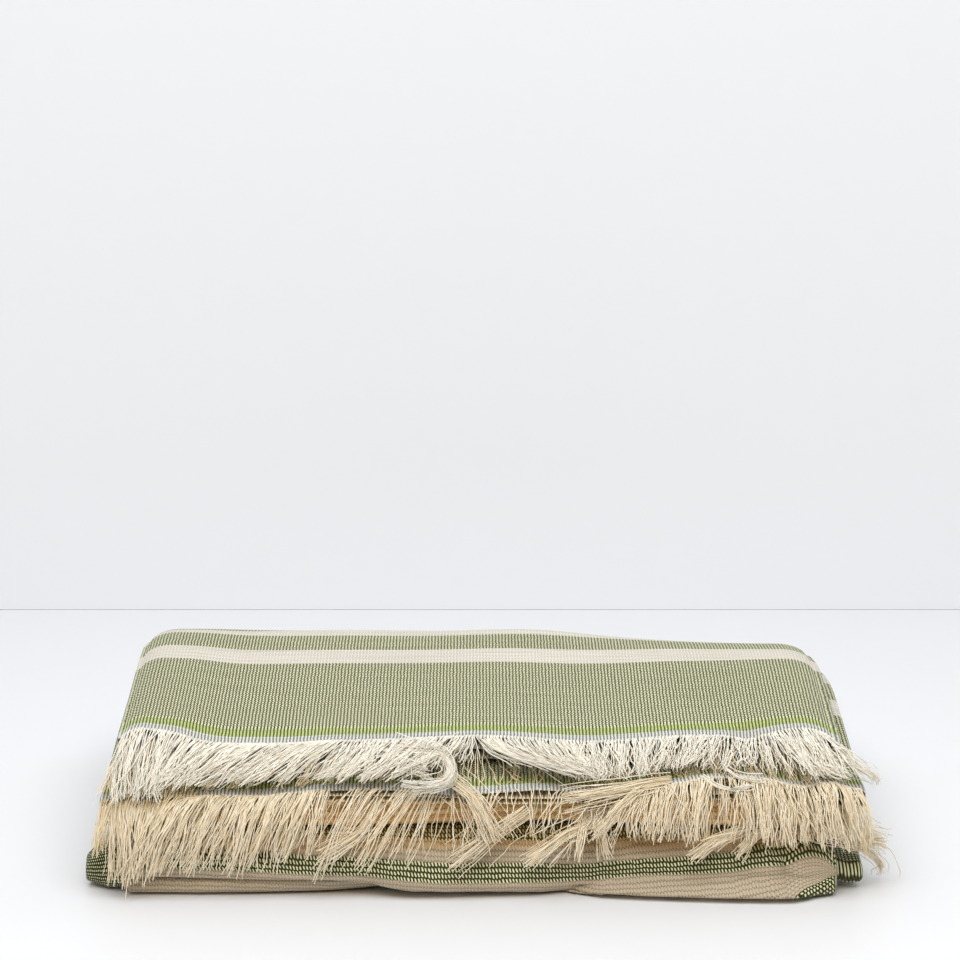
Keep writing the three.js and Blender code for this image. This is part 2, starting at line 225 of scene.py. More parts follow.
# distances along and across the flat cloth, for the weave and the stripes
middle = np.where((column_panel == 0) & (np.abs(column_share - 0.5) < 0.36))[0]
steps = np.linalg.norm(np.diff(folded[:, middle], axis=0), axis=2).mean(axis=1)
along = np.concatenate([[0], np.cumsum(steps)])
steps = np.linalg.norm(np.diff(folded, axis=1), axis=2).mean(axis=0)
across = np.concatenate([[0], np.cumsum(steps)])
FLAT_LENGTH, FLAT_WIDTH = along[-1] * MM, across[-1] * MM

# by x: how high the pressed fold's lip hangs, how far the cloth steps back under it, how deep
# the slot under it is, and where the fold's foot stands
CREASE = (
    (-175, 8.2, 0.9, 1.6, -117), (-156, 8.2, 0.9, 1.6, -117), (-124, 8.2, 0.9, 1.6, -115.5),
    (-106, 8.2, 1, 1.6, -113.5), (-66, 8.1, 1.2, 1.4, -108.5), (-48, 6.6, 2.5, 1, -105),
    (-38, 4.5, 6, 0, -104), (-31, 3.8, 8, 0, -103), (-17, 3.2, 9, 0, -101), (4, 2.9, 9, 0, -101),
    (25, 1.8, 8, 0, -104), (39, 1, 3, 0, -116), (53, 9, 0, 0, -121), (70, 9, 0, 0, -123),
    (97, 9, 0, 0, -124), (124, 9, 0, 0, -125), (137, 9, 0, 0, -125), (143, 9, 0, 0, -121.5),
    (147, 9, 0, 0, -118), (155, 9, 0, 0, -115), (162, 9, 0, 0, -110), (175, 9, 0, 0, -107),
)
LEFT_STEP = -156
CORNER_PINCH = 133
BEND_FRONT = -110.5
# droop of the upper cloth's front edge, and lift of the lower cloth's front edge
UPPER_DROOP = (
    (-181, 0), (-151, 0), (-140, 1.8), (-128, 3.2), (-114, 1.6), (-86, 1.6), (-67, 0.2), (0, -0.4),
    (31, 0.2), (50, 1), (99, 0), (110, 0.8), (122, 6), (132, 2.6), (141, -0.6), (156, 0), (181, 0),
)
LOWER_LIFT = (
    (-182, -4.6), (-158, -4.6), (-142, -6.2), (-123, -1.9), (-97, -2.6), (-66, 0.3), (-35, 0.3),
    (-13.5, -1.6), (26, 1.8), (53, -0.5), (83, 2.3), (99, 5), (115, 4.8), (128, 3.6), (142, -0.3),
    (156, 4.6), (182, 2),
)


def hand_creases(points):
    """Creases of the front bends and the waves of the two cut edges."""
    moved = points.copy()
    x, y, z = points[:, :, 0], points[:, :, 1], points[:, :, 2]
    run, is_bend, t = (np.array(v, float)[:, None] for v in zip(*rows))
    low_bend = ((run == 1) | (run == 2) & (is_bend == 0) & (t < 0.2)) & (y < -80)
    outer = np.where(low_bend, np.interp(column_panel, [0, 1, 2], [1, 0.8, 0.62])[None, :], 0)
    # columns drawn together at the two sharp creases, so that these can be sharp
    for place, reach in ((LEFT_STEP, 3), (CORNER_PINCH, 6)):
        near = x - place
        pull = np.where(np.abs(near) < reach, near * (np.abs(near) / reach) - near, 0)
        moved[:, :, 0] += np.where(outer > 0, pull, 0) * smooth((18 - z) / 4)
    x = moved[:, :, 0].copy()
    keys, heights, steps_back, slots, feet = np.array(CREASE, float).T
    lip, back = np.interp(x, keys, heights), np.interp(x, keys, steps_back)
    under = np.clip((lip - z) / np.maximum(lip - 1, 0.4), 0, 1)
    slot = np.interp(x, keys, slots) * np.exp(-(((z - lip + 0.9) / 0.8) ** 2))
    foot = (np.interp(x, keys, feet) - BEND_FRONT - back) * under
    belly = (1.3 + 0.8 * np.maximum(back - 2, 0)) * np.clip(back, 0, 1)
    belly *= smooth((z - lip + 0.5) / 0.9) * smooth((lip + 14 - z) / 11)
    sole = np.interp(x, [-156, -80, -60, 39, 60, 140, 150], [1.4, 1.4, 0, 0, 2.3, 2.3, 1.4])
    turned_in = 13 * smooth((sole - z + 0.3) / 0.7) * (sole > 0.2)
    moved[:, :, 1] += outer * (back * smooth((lip - z + 0.3) / 1.1) + slot + foot - belly + turned_in)
    # the right corner is pinched in a short slanting crease beside a small bulge
    pinch = np.exp(-(((x - CORNER_PINCH - 0.3 * (12 - z)) / 1.5) ** 2)) * smooth((17 - z) / 5)
    bulge = np.exp(-(((x - 143) / 7) ** 2) - (((z - 10.5) / 4) ** 2))
    moved[:, :, 1] += outer * (2.6 * pinch * smooth((z - 4) / 3) - 1.8 * bulge)
    # the inner fold shows beside the outer one at the left, as a plump lobe on the table
    inner_fold = (run == 5) | (run == 6) & (is_bend == 0)
    outermost = inner_fold & (column_panel[None, :] > 1.5)
    plump = np.where(outermost, smooth((-143 - x) / 10) * smooth((-72 - y) / 24), 0)
    moved[:, :, 0] -= 7.5 * plump * smooth((-150 - x) / 16)
    end = np.clip((-158 - moved[:, :, 0]) / 16, 0, 1)
    tall = 2.0 - 0.75 * end * end
    moved[:, :, 2] += plump * ((z - 8.8) * (tall - 1) - 1.7 - 1.4 * end)
    round_off = np.clip(np.abs(z - 8.8) / 4, 0, 1)
    moved[:, :, 1] += plump * (-5 + 7 * end ** 2.5 + 1.5 * round_off * round_off)
    # its other plies stay back, and its right end sags
    moved[:, :, 2] -= np.where(inner_fold, 2.6 * smooth((x - 155) / 6) * smooth((-76 - y) / 24), 0)
    tucked = inner_fold & (column_panel[None, :] < 1.5)
    moved[:, :, 1] += np.where(tucked, 5 * smooth((-150 - x) / 14) * smooth((-80 - y) / 14), 0)
    keys, droop = np.array(UPPER_DROOP, float).T
    top = (run == 0) & (column_panel[None, :] < 0.5)
    moved[:, :, 2] -= np.where(top, np.interp(x, keys, droop) * smooth((-58 - y) / 26), 0)
    keys, lift = np.array(LOWER_LIFT, float).T
    low = (run == 7) & (column_panel[None, :] > 1.5)
    moved[:, :, 2] += np.where(low, np.interp(x, keys, lift) * smooth((-80 - y) / 15), 0)
    return moved


folded = hand_creases(folded)

bpy.ops.object.select_all(action="DESELECT")
bpy.ops.mesh.primitive_grid_add(x_subdivisions=len(columns) - 1, y_subdivisions=len(rows) - 1, size=2)
cloth = bpy.context.object
cloth.name = cloth.data.name = "towel_cloth_woven"
flat = np.empty(len(cloth.data.vertices) * 3)
cloth.data.vertices.foreach_get("co", flat)
flat = flat.reshape(-1, 3)
column_of = np.rint((flat[:, 0] + 1) / 2 * (len(columns) - 1)).astype(int)
row_of = np.rint((flat[:, 1] + 1) / 2 * (len(rows) - 1)).astype(int)
placed = (folded[row_of, column_of] + ORIGIN) * MM
cloth.data.vertices.foreach_set("co", placed.ravel())
loop_vertex = np.empty(len(cloth.data.loops), dtype=np.int32)
cloth.data.loops.foreach_get("vertex_index", loop_vertex)
# the cloth is drawn askew at the pressed front: by x, the heights where the cream stripe ends
CREAM_EDGES = (
    (-175, -7, 10), (-124, -7, 10), (-101, -7, 9.6), (-66, -8, 8.4), (-48, -8, 7.9), (-38, -8, 7),
    (-17, -9, 5.5), (4, -9, 5.2), (25, -9, 4.9), (39, -9, 4.3), (53, -9, 5.3), (70, -9, 6.8),
    (97, -8, 8.5), (110, -7, 9.3), (124, -5, 11.6), (131, -4, 12), (133, -2, 11.2), (137, 0.8, 12.8),
    (142, 3.6, 14.6), (147, 4.8, 15), (151, 6.4, 14.4), (154, 8.6, 12.6), (155.5, 9.6, 10),
    (159, 9.8, 10), (175, 9.8, 10),
)
STRIPE_START, STRIPE_END = 450.1, 467.6
front_x, front_z = folded[:, :, 0], folded[:, :, 2]
drawn = np.repeat(along[:, None], len(columns), axis=1)
keys, low_edge, high_edge = np.array(CREAM_EDGES, float).T
low_edge, high_edge = np.interp(front_x, keys, low_edge), np.interp(front_x, keys, high_edge)
share = np.clip((front_z - low_edge) / (high_edge - low_edge), 0, 1)
on_front = STRIPE_START + (STRIPE_END - STRIPE_START) * share
# beyond the stripe the cloth keeps its own length, and left of the step it shows another stripe
on_front += np.maximum(front_z - high_edge, 0) - np.maximum(low_edge - front_z, 0)
on_front = np.where(front_x < LEFT_STEP, on_front + 36, on_front)
# the hollow under the fold is lined by the green stripe, partly the band that lies there and partly painted
# shade: its dark weft stands in for the shade in the hollow
hollow_top = np.interp(front_x, [-156, -60, -38, -17, 4, 25, 39, 60, 140, 150],
                       [1.1, 1.0, 3.9, 2.8, 2.5, 1.5, 0.8, 1.9, 1.9, 1.2])
on_front -= 20 * smooth((hollow_top - front_z) / 0.3 + 0.5)
at_front = smooth((drawn - 446) / 5) * smooth((540 - drawn) / 60)
at_front = at_front * np.clip(1 - column_panel, 0, 1)[None, :]
drawn = drawn + at_front * (on_front - drawn)
# the plump end of the inner fold spreads a short piece of the sheet: its weave is drawn closer
sideways = np.repeat(across[None, :], len(rows), axis=0)
nose = np.array([r for r, row in enumerate(rows) if row[0] == 5 and row[1]])
around = smooth((drawn - along[nose[0]] + 30) / 30) * smooth((along[nose[-1]] + 30 - drawn) / 30)
at_lobe = around * (column_panel > 1.5) * smooth((-146 - front_x) / 10)
nose_middle = along[nose].mean()
from_middle = np.clip(drawn, along[nose[0]], along[nose[-1]]) - nose_middle
sideways = sideways + at_lobe * (front_x + 146 + 3.0 * from_middle)
drawn = drawn + 8.5 * at_lobe * from_middle
# the rear stripe runs askew at the left
at_rear = smooth((drawn - 116) / 14) * smooth((175 - drawn) / 20)
drawn = drawn + 14 * smooth((-84 - front_x) / 40) * at_rear
uv = np.stack([sideways[row_of, column_of], drawn[row_of, column_of]], axis=1)[loop_vertex] * MM
layer = cloth.data.uv_layers[0]
layer.name = "flat cloth"
layer.data.foreach_set("uv", uv.ravel())
# where the cloth is stretched round the pressed folds, its weave opens; the same mask also sets where
# painted shade darkens the cream stripe
front_stretch_and_shade = cloth.data.attributes.new("front_stretch_and_shade", "FLOAT", "POINT")
front_stretch_and_shade_mask = smooth((-84 - folded[:, :, 1]) / 12) * smooth((26 - folded[:, :, 2]) / 6) + 0.9 * at_lobe
front_stretch_and_shade.data.foreach_set("value", front_stretch_and_shade_mask[row_of, column_of].astype(np.float32))
# painted warm bounce light: between the folds in front a mask raises and warms the cloth's colour, standing
# in for the warm light that comes off so much ecru cloth
painted_warm_bounce = cloth.data.attributes.new("painted_warm_bounce", "FLOAT", "POINT")
run_of_row = np.array([row[0] for row in rows])[:, None]
painted_bounce_mask = smooth((front_z - 17) / 5) * smooth((-76 - folded[:, :, 1]) / 10)
painted_bounce_mask *= smooth((152 - np.abs(front_x)) / 14) * (run_of_row > 0)
painted_bounce_mask *= np.where(run_of_row < 7, 1, 0.6 * (column_panel < 1.5)[None, :])
painted_warm_bounce.data.foreach_set("value", painted_bounce_mask[row_of, column_of].astype(np.float32))
cloth.data.update()
bpy.ops.object.shade_smooth()
# towards a cut end the sheet thins to its yarns
body = cloth.vertex_groups.new(name="body")
from_end = np.minimum(along, along[-1] - along)
for r in range(len(rows)):
    weight = float(np.interp(from_end[r], [0, 3.2], [0.3, 1]))
    body.add(np.flatnonzero(row_of == r).tolist(), weight, "REPLACE")
solid = cloth.modifiers.new("thickness", "SOLIDIFY")
solid.thickness = THICKNESS * MM
solid.offset = 0
solid.vertex_group = "body"
bpy.ops.object.modifier_apply(modifier=solid.name)


def math_node(tree, operation, *values):
    node = tree.nodes.new("ShaderNodeMath")
    node.operation = operation
    for socket, value in zip(node.inputs, values):
        if isinstance(value, (int, float)):
            socket.default_value = value
        else:
            tree.links.new(value, socket)
    return node.outputs[0]


def mix_node(tree, share, a, b, kind="MIX"):
    node = tree.nodes.new("ShaderNodeMix")
    node.data_type = "RGBA"
    node.blend_type = kind
    for socket, value in ((node.inputs[0], share), (node.inputs[6], a), (node.inputs[7], b)):
        if isinstance(value, (int, float, tuple)):
            socket.default_value = value
        else:
            tree.links.new(value, socket)
    return node.outputs[2]


# The weave: ribs of ecru warp that float in slanted steps over the coloured weft
RIB_PITCH = 1.57
PICK_PITCH = 1.85
weave = bpy.data.node_groups.new("plain weave with warp floats", "ShaderNodeTree")
for name, kind in (("Across", "NodeSocketFloat"), ("Along", "NodeSocketFloat"),
                   ("Ribbed", "NodeSocketFloat"), ("Stretched", "NodeSocketFloat"),
                   ("Weft", "NodeSocketColor"), ("Warp", "NodeSocketColor")):
    weave.interface.new_socket(name=name, in_out="INPUT", socket_type=kind)
for name, kind in (("Color", "NodeSocketColor"), ("Height", "NodeSocketFloat")):
    weave.interface.new_socket(name=name, in_out="OUTPUT", socket_type=kind)
inside = weave.nodes.new("NodeGroupInput")
outside = weave.nodes.new("NodeGroupOutput")
position = weave.nodes.new("ShaderNodeCombineXYZ")
weave.links.new(inside.outputs["Across"], position.inputs[0])
weave.links.new(inside.outputs["Along"], position.inputs[1])
drift = weave.nodes.new("ShaderNodeTexNoise")
drift.inputs["Scale"].default_value = 210
drift.inputs["Detail"].default_value = 3
weave.links.new(position.outputs[0], drift.inputs["Vector"])
drift_x = weave.nodes.new("ShaderNodeSeparateColor")
weave.links.new(drift.outputs["Color"], drift_x.inputs[0])
TURN = 2 * math.pi
a = math_node(weave, "MULTIPLY_ADD", inside.outputs["Across"], 1 / (RIB_PITCH * MM),
              math_node(weave, "MULTIPLY", drift_x.outputs[0], 0.62))
b = math_node(weave, "MULTIPLY_ADD", inside.outputs["Along"], 1 / (PICK_PITCH * MM),
              math_node(weave, "MULTIPLY", drift_x.outputs[1], 0.8))
# place within one pick, from -0.5 to 0.5
step = math_node(weave, "SUBTRACT", math_node(weave, "FRACT", b), 0.5)
loose = math_node(weave, "SUBTRACT", 1.0, inside.outputs["Ribbed"])
lean = math_node(weave, "MULTIPLY", math_node(weave, "MULTIPLY", step, -0.55), loose)
rib = math_node(weave, "COSINE", math_node(weave, "MULTIPLY", math_node(weave, "ADD", a, lean), TURN))
shown = weave.nodes.new("ShaderNodeMapRange")
shown.interpolation_type = "SMOOTHSTEP"
shown.inputs["From Min"].default_value = -0.5
shown.inputs["From Max"].default_value = 0.4
narrow = math_node(weave, "MULTIPLY", inside.outputs["Stretched"], -0.16)
weave.links.new(math_node(weave, "ADD", rib, narrow), shown.inputs["Value"])
between = weave.nodes.new("ShaderNodeMapRange")
between.interpolation_type = "SMOOTHSTEP"
between.inputs["From Min"].default_value = 0.3
between.inputs["From Max"].default_value = 0.47
wider = math_node(weave, "MULTIPLY", inside.outputs["Stretched"], 0.07)
weave.links.new(math_node(weave, "ADD", math_node(weave, "ABSOLUTE", step), wider), between.inputs["Value"])
parting = math_node(weave, "MULTIPLY_ADD", inside.outputs["Stretched"], 0.22, 0.72)
gap = math_node(weave, "MULTIPLY", math_node(weave, "MULTIPLY", between.outputs["Result"], parting), loose)
floats = math_node(weave, "MULTIPLY", shown.outputs["Result"], math_node(weave, "SUBTRACT", 1.0, gap))
# pinholes where four threads part; below, their darkening in the colour is painted shade
parted = weave.nodes.new("ShaderNodeMapRange")
parted.interpolation_type = "SMOOTHSTEP"
parted.inputs["From Min"].default_value = -0.45
parted.inputs["From Max"].default_value = -0.95
weave.links.new(rib, parted.inputs["Value"])
hole = math_node(weave, "MULTIPLY", parted.outputs["Result"], between.outputs["Result"])
# thick and thin places along single picks
drawn_out = weave.nodes.new("ShaderNodeVectorMath")
drawn_out.operation = "MULTIPLY"
drawn_out.inputs[1].default_value = (14, 540, 1)
weave.links.new(position.outputs[0], drawn_out.inputs[0])
slub = weave.nodes.new("ShaderNodeTexNoise")
slub.inputs["Scale"].default_value = 1
slub.inputs["Detail"].default_value = 3
weave.links.new(drawn_out.outputs[0], slub.inputs["Vector"])
slub_tone = math_node(weave, "MULTIPLY_ADD", slub.outputs["Fac"], 0.5, 0.75)
mixed = mix_node(weave, floats, inside.outputs["Weft"], inside.outputs["Warp"])
# painted shade in the pinholes, multiplied into the colour
pinhole_painted_shade = math_node(weave, "MULTIPLY_ADD", hole, -0.75, 1.0)
tone = math_node(weave, "MULTIPLY", pinhole_painted_shade, slub_tone)
grey = weave.nodes.new("ShaderNodeCombineColor")
for channel in range(3):
    weave.links.new(tone, grey.inputs[channel])
weave.links.new(mix_node(weave, 1.0, mixed, grey.outputs[0], "MULTIPLY"), outside.inputs["Color"])
height = math_node(weave, "MULTIPLY_ADD", floats, 0.5, math_node(weave, "MULTIPLY", hole, -0.6))
weave.links.new(height, outside.inputs["Height"])

# weft colours; the fourth number says where the ecru warp over them is tinted green, painted bounce light
# off the green weft
GREEN = (0.036, 0.043, 0.002, 1)
CREAM = (0.620, 0.585, 0.510, 0)
LIME = (0.095, 0.150, 0.010, 1)
PALE = (0.250, 0.265, 0.245, 0)
ECRU = (0.760, 0.730, 0.670, 1)
# the ecru warp with painted green bounce light, for over the green weft
ECRU_PAINTED_GREEN_BOUNCE = (0.740, 0.755, 0.530, 1)
LIME_ECRU = (0.510, 0.560, 0.270, 1)
PALE_ECRU = (0.660, 0.670, 0.640, 1)
# painted light multiplied into the cloth's colour: a warm bounce gain between the front folds, and painted
# shade in the pressed cream stripe
PAINTED_BOUNCE_GAIN = (1.72, 1.33, 0.82, 1)
PAINTED_SHADE_ON_CREAM = (0.73, 0.655, 0.55, 1)
# where each band begins, in mm from a cut end; the far half of the towel mirrors it
BANDS = (
    (0, PALE), (6.4, LIME), (13, GREEN), (77.5, CREAM), (95, GREEN), (115, CREAM),
    (132.5, GREEN), (199, CREAM), (216.5, GREEN), (236.5, CREAM), (254, GREEN), (317, CREAM),
    (334.5, GREEN), (354.5, CREAM), (372, GREEN), (450.1, CREAM), (467.6, GREEN), (474, CREAM),
    (481, GREEN), (563, CREAM), (580.5, GREEN), (600.5, CREAM), (618, GREEN), (681, CREAM),
    (698.5, GREEN), (718.5, CREAM), (736, GREEN), (815, CREAM),
)

cloth_finish = bpy.data.materials.new("striped cotton weave")
cloth_finish.use_nodes = True
tree = cloth_finish.node_tree
shader = tree.nodes["Principled BSDF"]
shader.inputs["Roughness"].default_value = 0.92
shader.inputs["Specular IOR Level"].default_value = 0.1
shader.inputs["Sheen Weight"].default_value = 0.18
shader.inputs["Sheen Roughness"].default_value = 0.5
where = tree.nodes.new("ShaderNodeUVMap")
where.uv_map = "flat cloth"
parts = tree.nodes.new("ShaderNodeSeparateXYZ")
tree.links.new(where.outputs[0], parts.inputs[0])
far = math_node(tree, "SUBTRACT", FLAT_LENGTH, parts.outputs[1])
from_end = math_node(tree, "MINIMUM", parts.outputs[1], far)
ramp = tree.nodes.new("ShaderNodeValToRGB")
ramp.color_ramp.interpolation = "CONSTANT"
HALF = FLAT_LENGTH / 2 / MM
for index, (start, colour) in enumerate(BANDS):
    if index < 2:
        element = ramp.color_ramp.elements[index]
        element.position = start / HALF
    else:
        element = ramp.color_ramp.elements.new(start / HALF)
    element.color = colour
tree.links.new(math_node(tree, "DIVIDE", from_end, HALF * MM), ramp.inputs["Fac"])
woven = tree.nodes.new("ShaderNodeGroup")
woven.node_tree = weave
tree.links.new(parts.outputs[0], woven.inputs["Across"])
tree.links.new(parts.outputs[1], woven.inputs["Along"])
ribbed = tree.nodes.new("ShaderNodeMapRange")
ribbed.inputs["From Min"].default_value = 0.016
ribbed.inputs["From Max"].default_value = 0.013
tree.links.new(from_end, ribbed.inputs["Value"])
tree.links.new(ribbed.outputs["Result"], woven.inputs["Ribbed"])
stretch_and_shade_attribute = tree.nodes.new("ShaderNodeAttribute")
stretch_and_shade_attribute.attribute_name = "front_stretch_and_shade"
tree.links.new(stretch_and_shade_attribute.outputs["Fac"], woven.inputs["Stretched"])
tree.links.new(ramp.outputs["Color"], woven.inputs["Weft"])
# the warp's tone beside the cut ends: greyer over the pale band, lime-tinted over the lime band
end_tone = tree.nodes.new("ShaderNodeValToRGB")
end_tone.color_ramp.interpolation = "CONSTANT"
end_tone.color_ramp.elements[0].color = PALE_ECRU
end_tone.color_ramp.elements[1].position = 6.4 / 15
end_tone.color_ramp.elements[1].color = LIME_ECRU
plain = end_tone.color_ramp.elements.new(13 / 15)
plain.color = ECRU_PAINTED_GREEN_BOUNCE[:3] + (0,)
tree.links.new(math_node(tree, "DIVIDE", from_end, 15 * MM), end_tone.inputs["Fac"])
# painted green bounce light: over the green and lime weft the ecru warp takes the green-tinted colour
warp = mix_node(tree, ramp.outputs["Alpha"], ECRU, ECRU_PAINTED_GREEN_BOUNCE)
warp = mix_node(tree, end_tone.outputs["Alpha"], warp, end_tone.outputs["Color"])
tree.links.new(warp, woven.inputs["Warp"])
painted_bounce_attribute = tree.nodes.new("ShaderNodeAttribute")
painted_bounce_attribute.attribute_name = "painted_warm_bounce"
# painted warm bounce light, multiplied into the colour in the open front
colour_with_painted_light = mix_node(tree, painted_bounce_attribute.outputs["Fac"], woven.outputs["Color"], PAINTED_BOUNCE_GAIN, "MULTIPLY")
# painted shade: the cream and pale bands are darkened within the stretch mask at the pressed front
painted_cream_shade_mask = math_node(tree, "MULTIPLY", stretch_and_shade_attribute.outputs["Fac"],
                          math_node(tree, "SUBTRACT", 1.0, ramp.outputs["Alpha"]))
colour_with_painted_light = mix_node(tree, painted_cream_shade_mask, colour_with_painted_light, PAINTED_SHADE_ON_CREAM, "MULTIPLY")
tree.links.new(colour_with_painted_light, shader.inputs["Base Color"])
bump = tree.nodes.new("ShaderNodeBump")
bump.inputs["Distance"].default_value = 0.0004
bump.inputs["Strength"].default_value = 0.6
tree.links.new(woven.outputs["Height"], bump.inputs["Height"])
tree.links.new(bump.outputs["Normal"], shader.inputs["Normal"])
cloth.data.materials.clear()
cloth.data.materials.append(cloth_finish)
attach(cloth, "root")
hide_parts("towel_cloth")

# The upper fringe: the bare ends of the ecru warp, cut to about 45 mm and left loose. They come
# out of the cut end on top, fall forward over the lower end, and gather in swept locks.


def yarn_finish(name, shade, light):
    """Loose ecru yarn whose tone changes from thread to thread between the two given."""
    finish = bpy.data.materials.new(name)
    finish.use_nodes = True
    tree = finish.node_tree
    shader = tree.nodes["Principled BSDF"]
    shader.inputs["Roughness"].default_value = 0.8
    shader.inputs["Specular IOR Level"].default_value = 0.3
    shader.inputs["Sheen Weight"].default_value = 0.15
    where = tree.nodes.new("ShaderNodeUVMap")
    where.uv_map = "yarn"
    noise = tree.nodes.new("ShaderNodeTexNoise")
    noise.inputs["Scale"].default_value = 5
    noise.inputs["Detail"].default_value = 3
    tree.links.new(where.outputs[0], noise.inputs["Vector"])
    tone = tree.nodes.new("ShaderNodeValToRGB")
    tone.color_ramp.elements[0].position = 0.3
    tone.color_ramp.elements[0].color = shade
    tone.color_ramp.elements[1].position = 0.65
    tone.color_ramp.elements[1].color = light
    tree.links.new(noise.outputs["Fac"], tone.inputs["Fac"])
    tree.links.new(tone.outputs["Color"], shader.inputs["Base Color"])
    return finish


# one ecru yarn in three copies: this lightest one for the lit upper fringe, and two darker, warmer ones with
# painted shade and painted warm bounce light for the threads underneath and in the shade
lit_yarn = yarn_finish("loose warp yarn", (0.93, 0.87, 0.73, 1), (0.98, 0.97, 0.91, 1))
yarn_with_deep_painted_shade = yarn_finish("loose warp yarn underneath, painted shade", (0.88, 0.70, 0.42, 1), (0.97, 0.88, 0.66, 1))
YARN_RADIUS = 0.26
LOOSE_LENGTH = 38
SWEEP_LIMITS = (-169, 172)
ABOVE_TABLE = 0.4


def end_line(edge, inner):
    """A cut end as (distance across the cloth, edge points, outward directions)."""
    out = edge - inner
    out /= np.linalg.norm(out, axis=1)[:, None]
    return across, edge, out


def on_line(line, at):
    """Points of a cut end and the directions out of it, at distances across the cloth."""
    length, edge, out = line
    root = np.stack([np.interp(at, length, edge[:, k]) for k in range(3)], axis=1)
    direction = np.stack([np.interp(at, length, out[:, k]) for k in range(3)], axis=1)
    return root, direction / np.linalg.norm(direction, axis=1)[:, None]


def panel_span(panel):
    """Where a panel begins and ends, as distances across the cloth."""
    inside_panel = np.where((column_panel == panel) & (column_side == 0))[0]
    return across[inside_panel[0]], across[inside_panel[-1]]


def waves(path, reach, rng, size, pitch, group):
    """Adds gentle sideways waves that grow towards the tips, shared by each group."""
    count, points = path.shape[:2]
    t = np.linspace(0, 1, points)[None, :]
    groups = group.max() + 1
    for axis in range(3):
        amount = rng.uniform(*size, groups)[group][:, None] * (1, 0.6, 0.6)[axis]
        turns = (reach / rng.uniform(*pitch, groups)[group])[:, None]
        phase = rng.uniform(0, TURN, groups)[group][:, None]
        path[:, :, axis] += amount * t * (np.sin(TURN * turns * t + phase) - np.sin(phase))


def combed(line, span, lay, rng, per_rib, locks, gather, lift, noise, points=11):
    """Paths of the threads between two places of a cut end, ordered in locks."""
    ribs = np.arange(math.ceil(span[0] / RIB_PITCH), math.floor(span[1] / RIB_PITCH) + 1) * RIB_PITCH
    at = np.clip(np.repeat(ribs, per_rib) + rng.normal(0, 0.22, len(ribs) * per_rib), *span)
    root, direction = on_line(line, at)
    table = np.array(lay, float)
    density = np.interp(root[:, 0], table[:, 0], table[:, 5])
    kept = rng.random(len(at)) < density
    at, root, direction = at[kept], root[kept], direction[kept]
    count = len(at)
    shift, hook, tip_y, tip_z = (np.interp(root[:, 0], table[:, 0], table[:, k]) for k in (1, 2, 3, 4))
    cuts = span[0] + np.cumsum(rng.uniform(*locks, int((span[1] - span[0]) / locks[0]) + 2))
    lock = np.searchsorted(cuts, at)
    total = lock.max() + 1
    centre = np.array([root[lock == k, 0].mean() if (lock == k).any() else 0 for k in range(total)])
    closing = rng.uniform(*gather, total)[lock]
    shift = shift + rng.normal(0, noise, total)[lock] - (root[:, 0] - centre[lock]) * closing
    stray = np.where(rng.random(count) < 0.07, 3.5, 1.0)
    shift += rng.normal(0, 0.9, count) * stray
    size = 1 + rng.normal(0, 0.045, total)[lock] - np.abs(rng.normal(0, 0.075, count))
    up = rng.uniform(*lift, total)[lock] + rng.uniform(-0.6, 1.4, count)
    reach = (root[:, 1] - tip_y) * size
    fall = (root[:, 2] - tip_z) * size
    p0 = root - direction * rng.uniform(0.1, 1.4, count)[:, None]
    p0[:, 2] += 0.55
    p1 = root + direction * (0.3 * reach)[:, None]
    p1[:, 2] += 0.5 + 0.55 * up
    p2 = root + np.stack([0 * reach, -reach * 0.9, -fall * 0.42], axis=1)
    p2[:, 1] -= up * 0.55
    p2[:, 2] += up * 0.35
    tip = root + np.stack([0 * reach, -reach, -fall], axis=1)
    t = np.linspace(0, 1, points)[None, :, None]
    path = (
        p0[:, None] * (1 - t) ** 3 + 3 * p1[:, None] * t * (1 - t) ** 2
        + 3 * p2[:, None] * t * t * (1 - t) + tip[:, None] * t ** 3
    )
    t = t[:, :, 0]
    shift = np.clip(shift, SWEEP_LIMITS[0] - root[:, 0], SWEEP_LIMITS[1] - root[:, 0])
    path[:, :, 0] += shift[:, None] * t ** (hook * rng.uniform(0.9, 1.15, count))[:, None]
    waves(path, LOOSE_LENGTH, rng, (0.3, 1.3), (15, 34), lock)
    waves(path, LOOSE_LENGTH, rng, (0.15, 0.9), (9, 24), np.arange(count))
    path += (rng.normal(0, 0.75, (count, 3)) * stray[:, None])[:, None] * (t ** 3)[:, :, None]
    path[:, :, 2] = np.maximum(path[:, :, 2], ABOVE_TABLE)
    return path


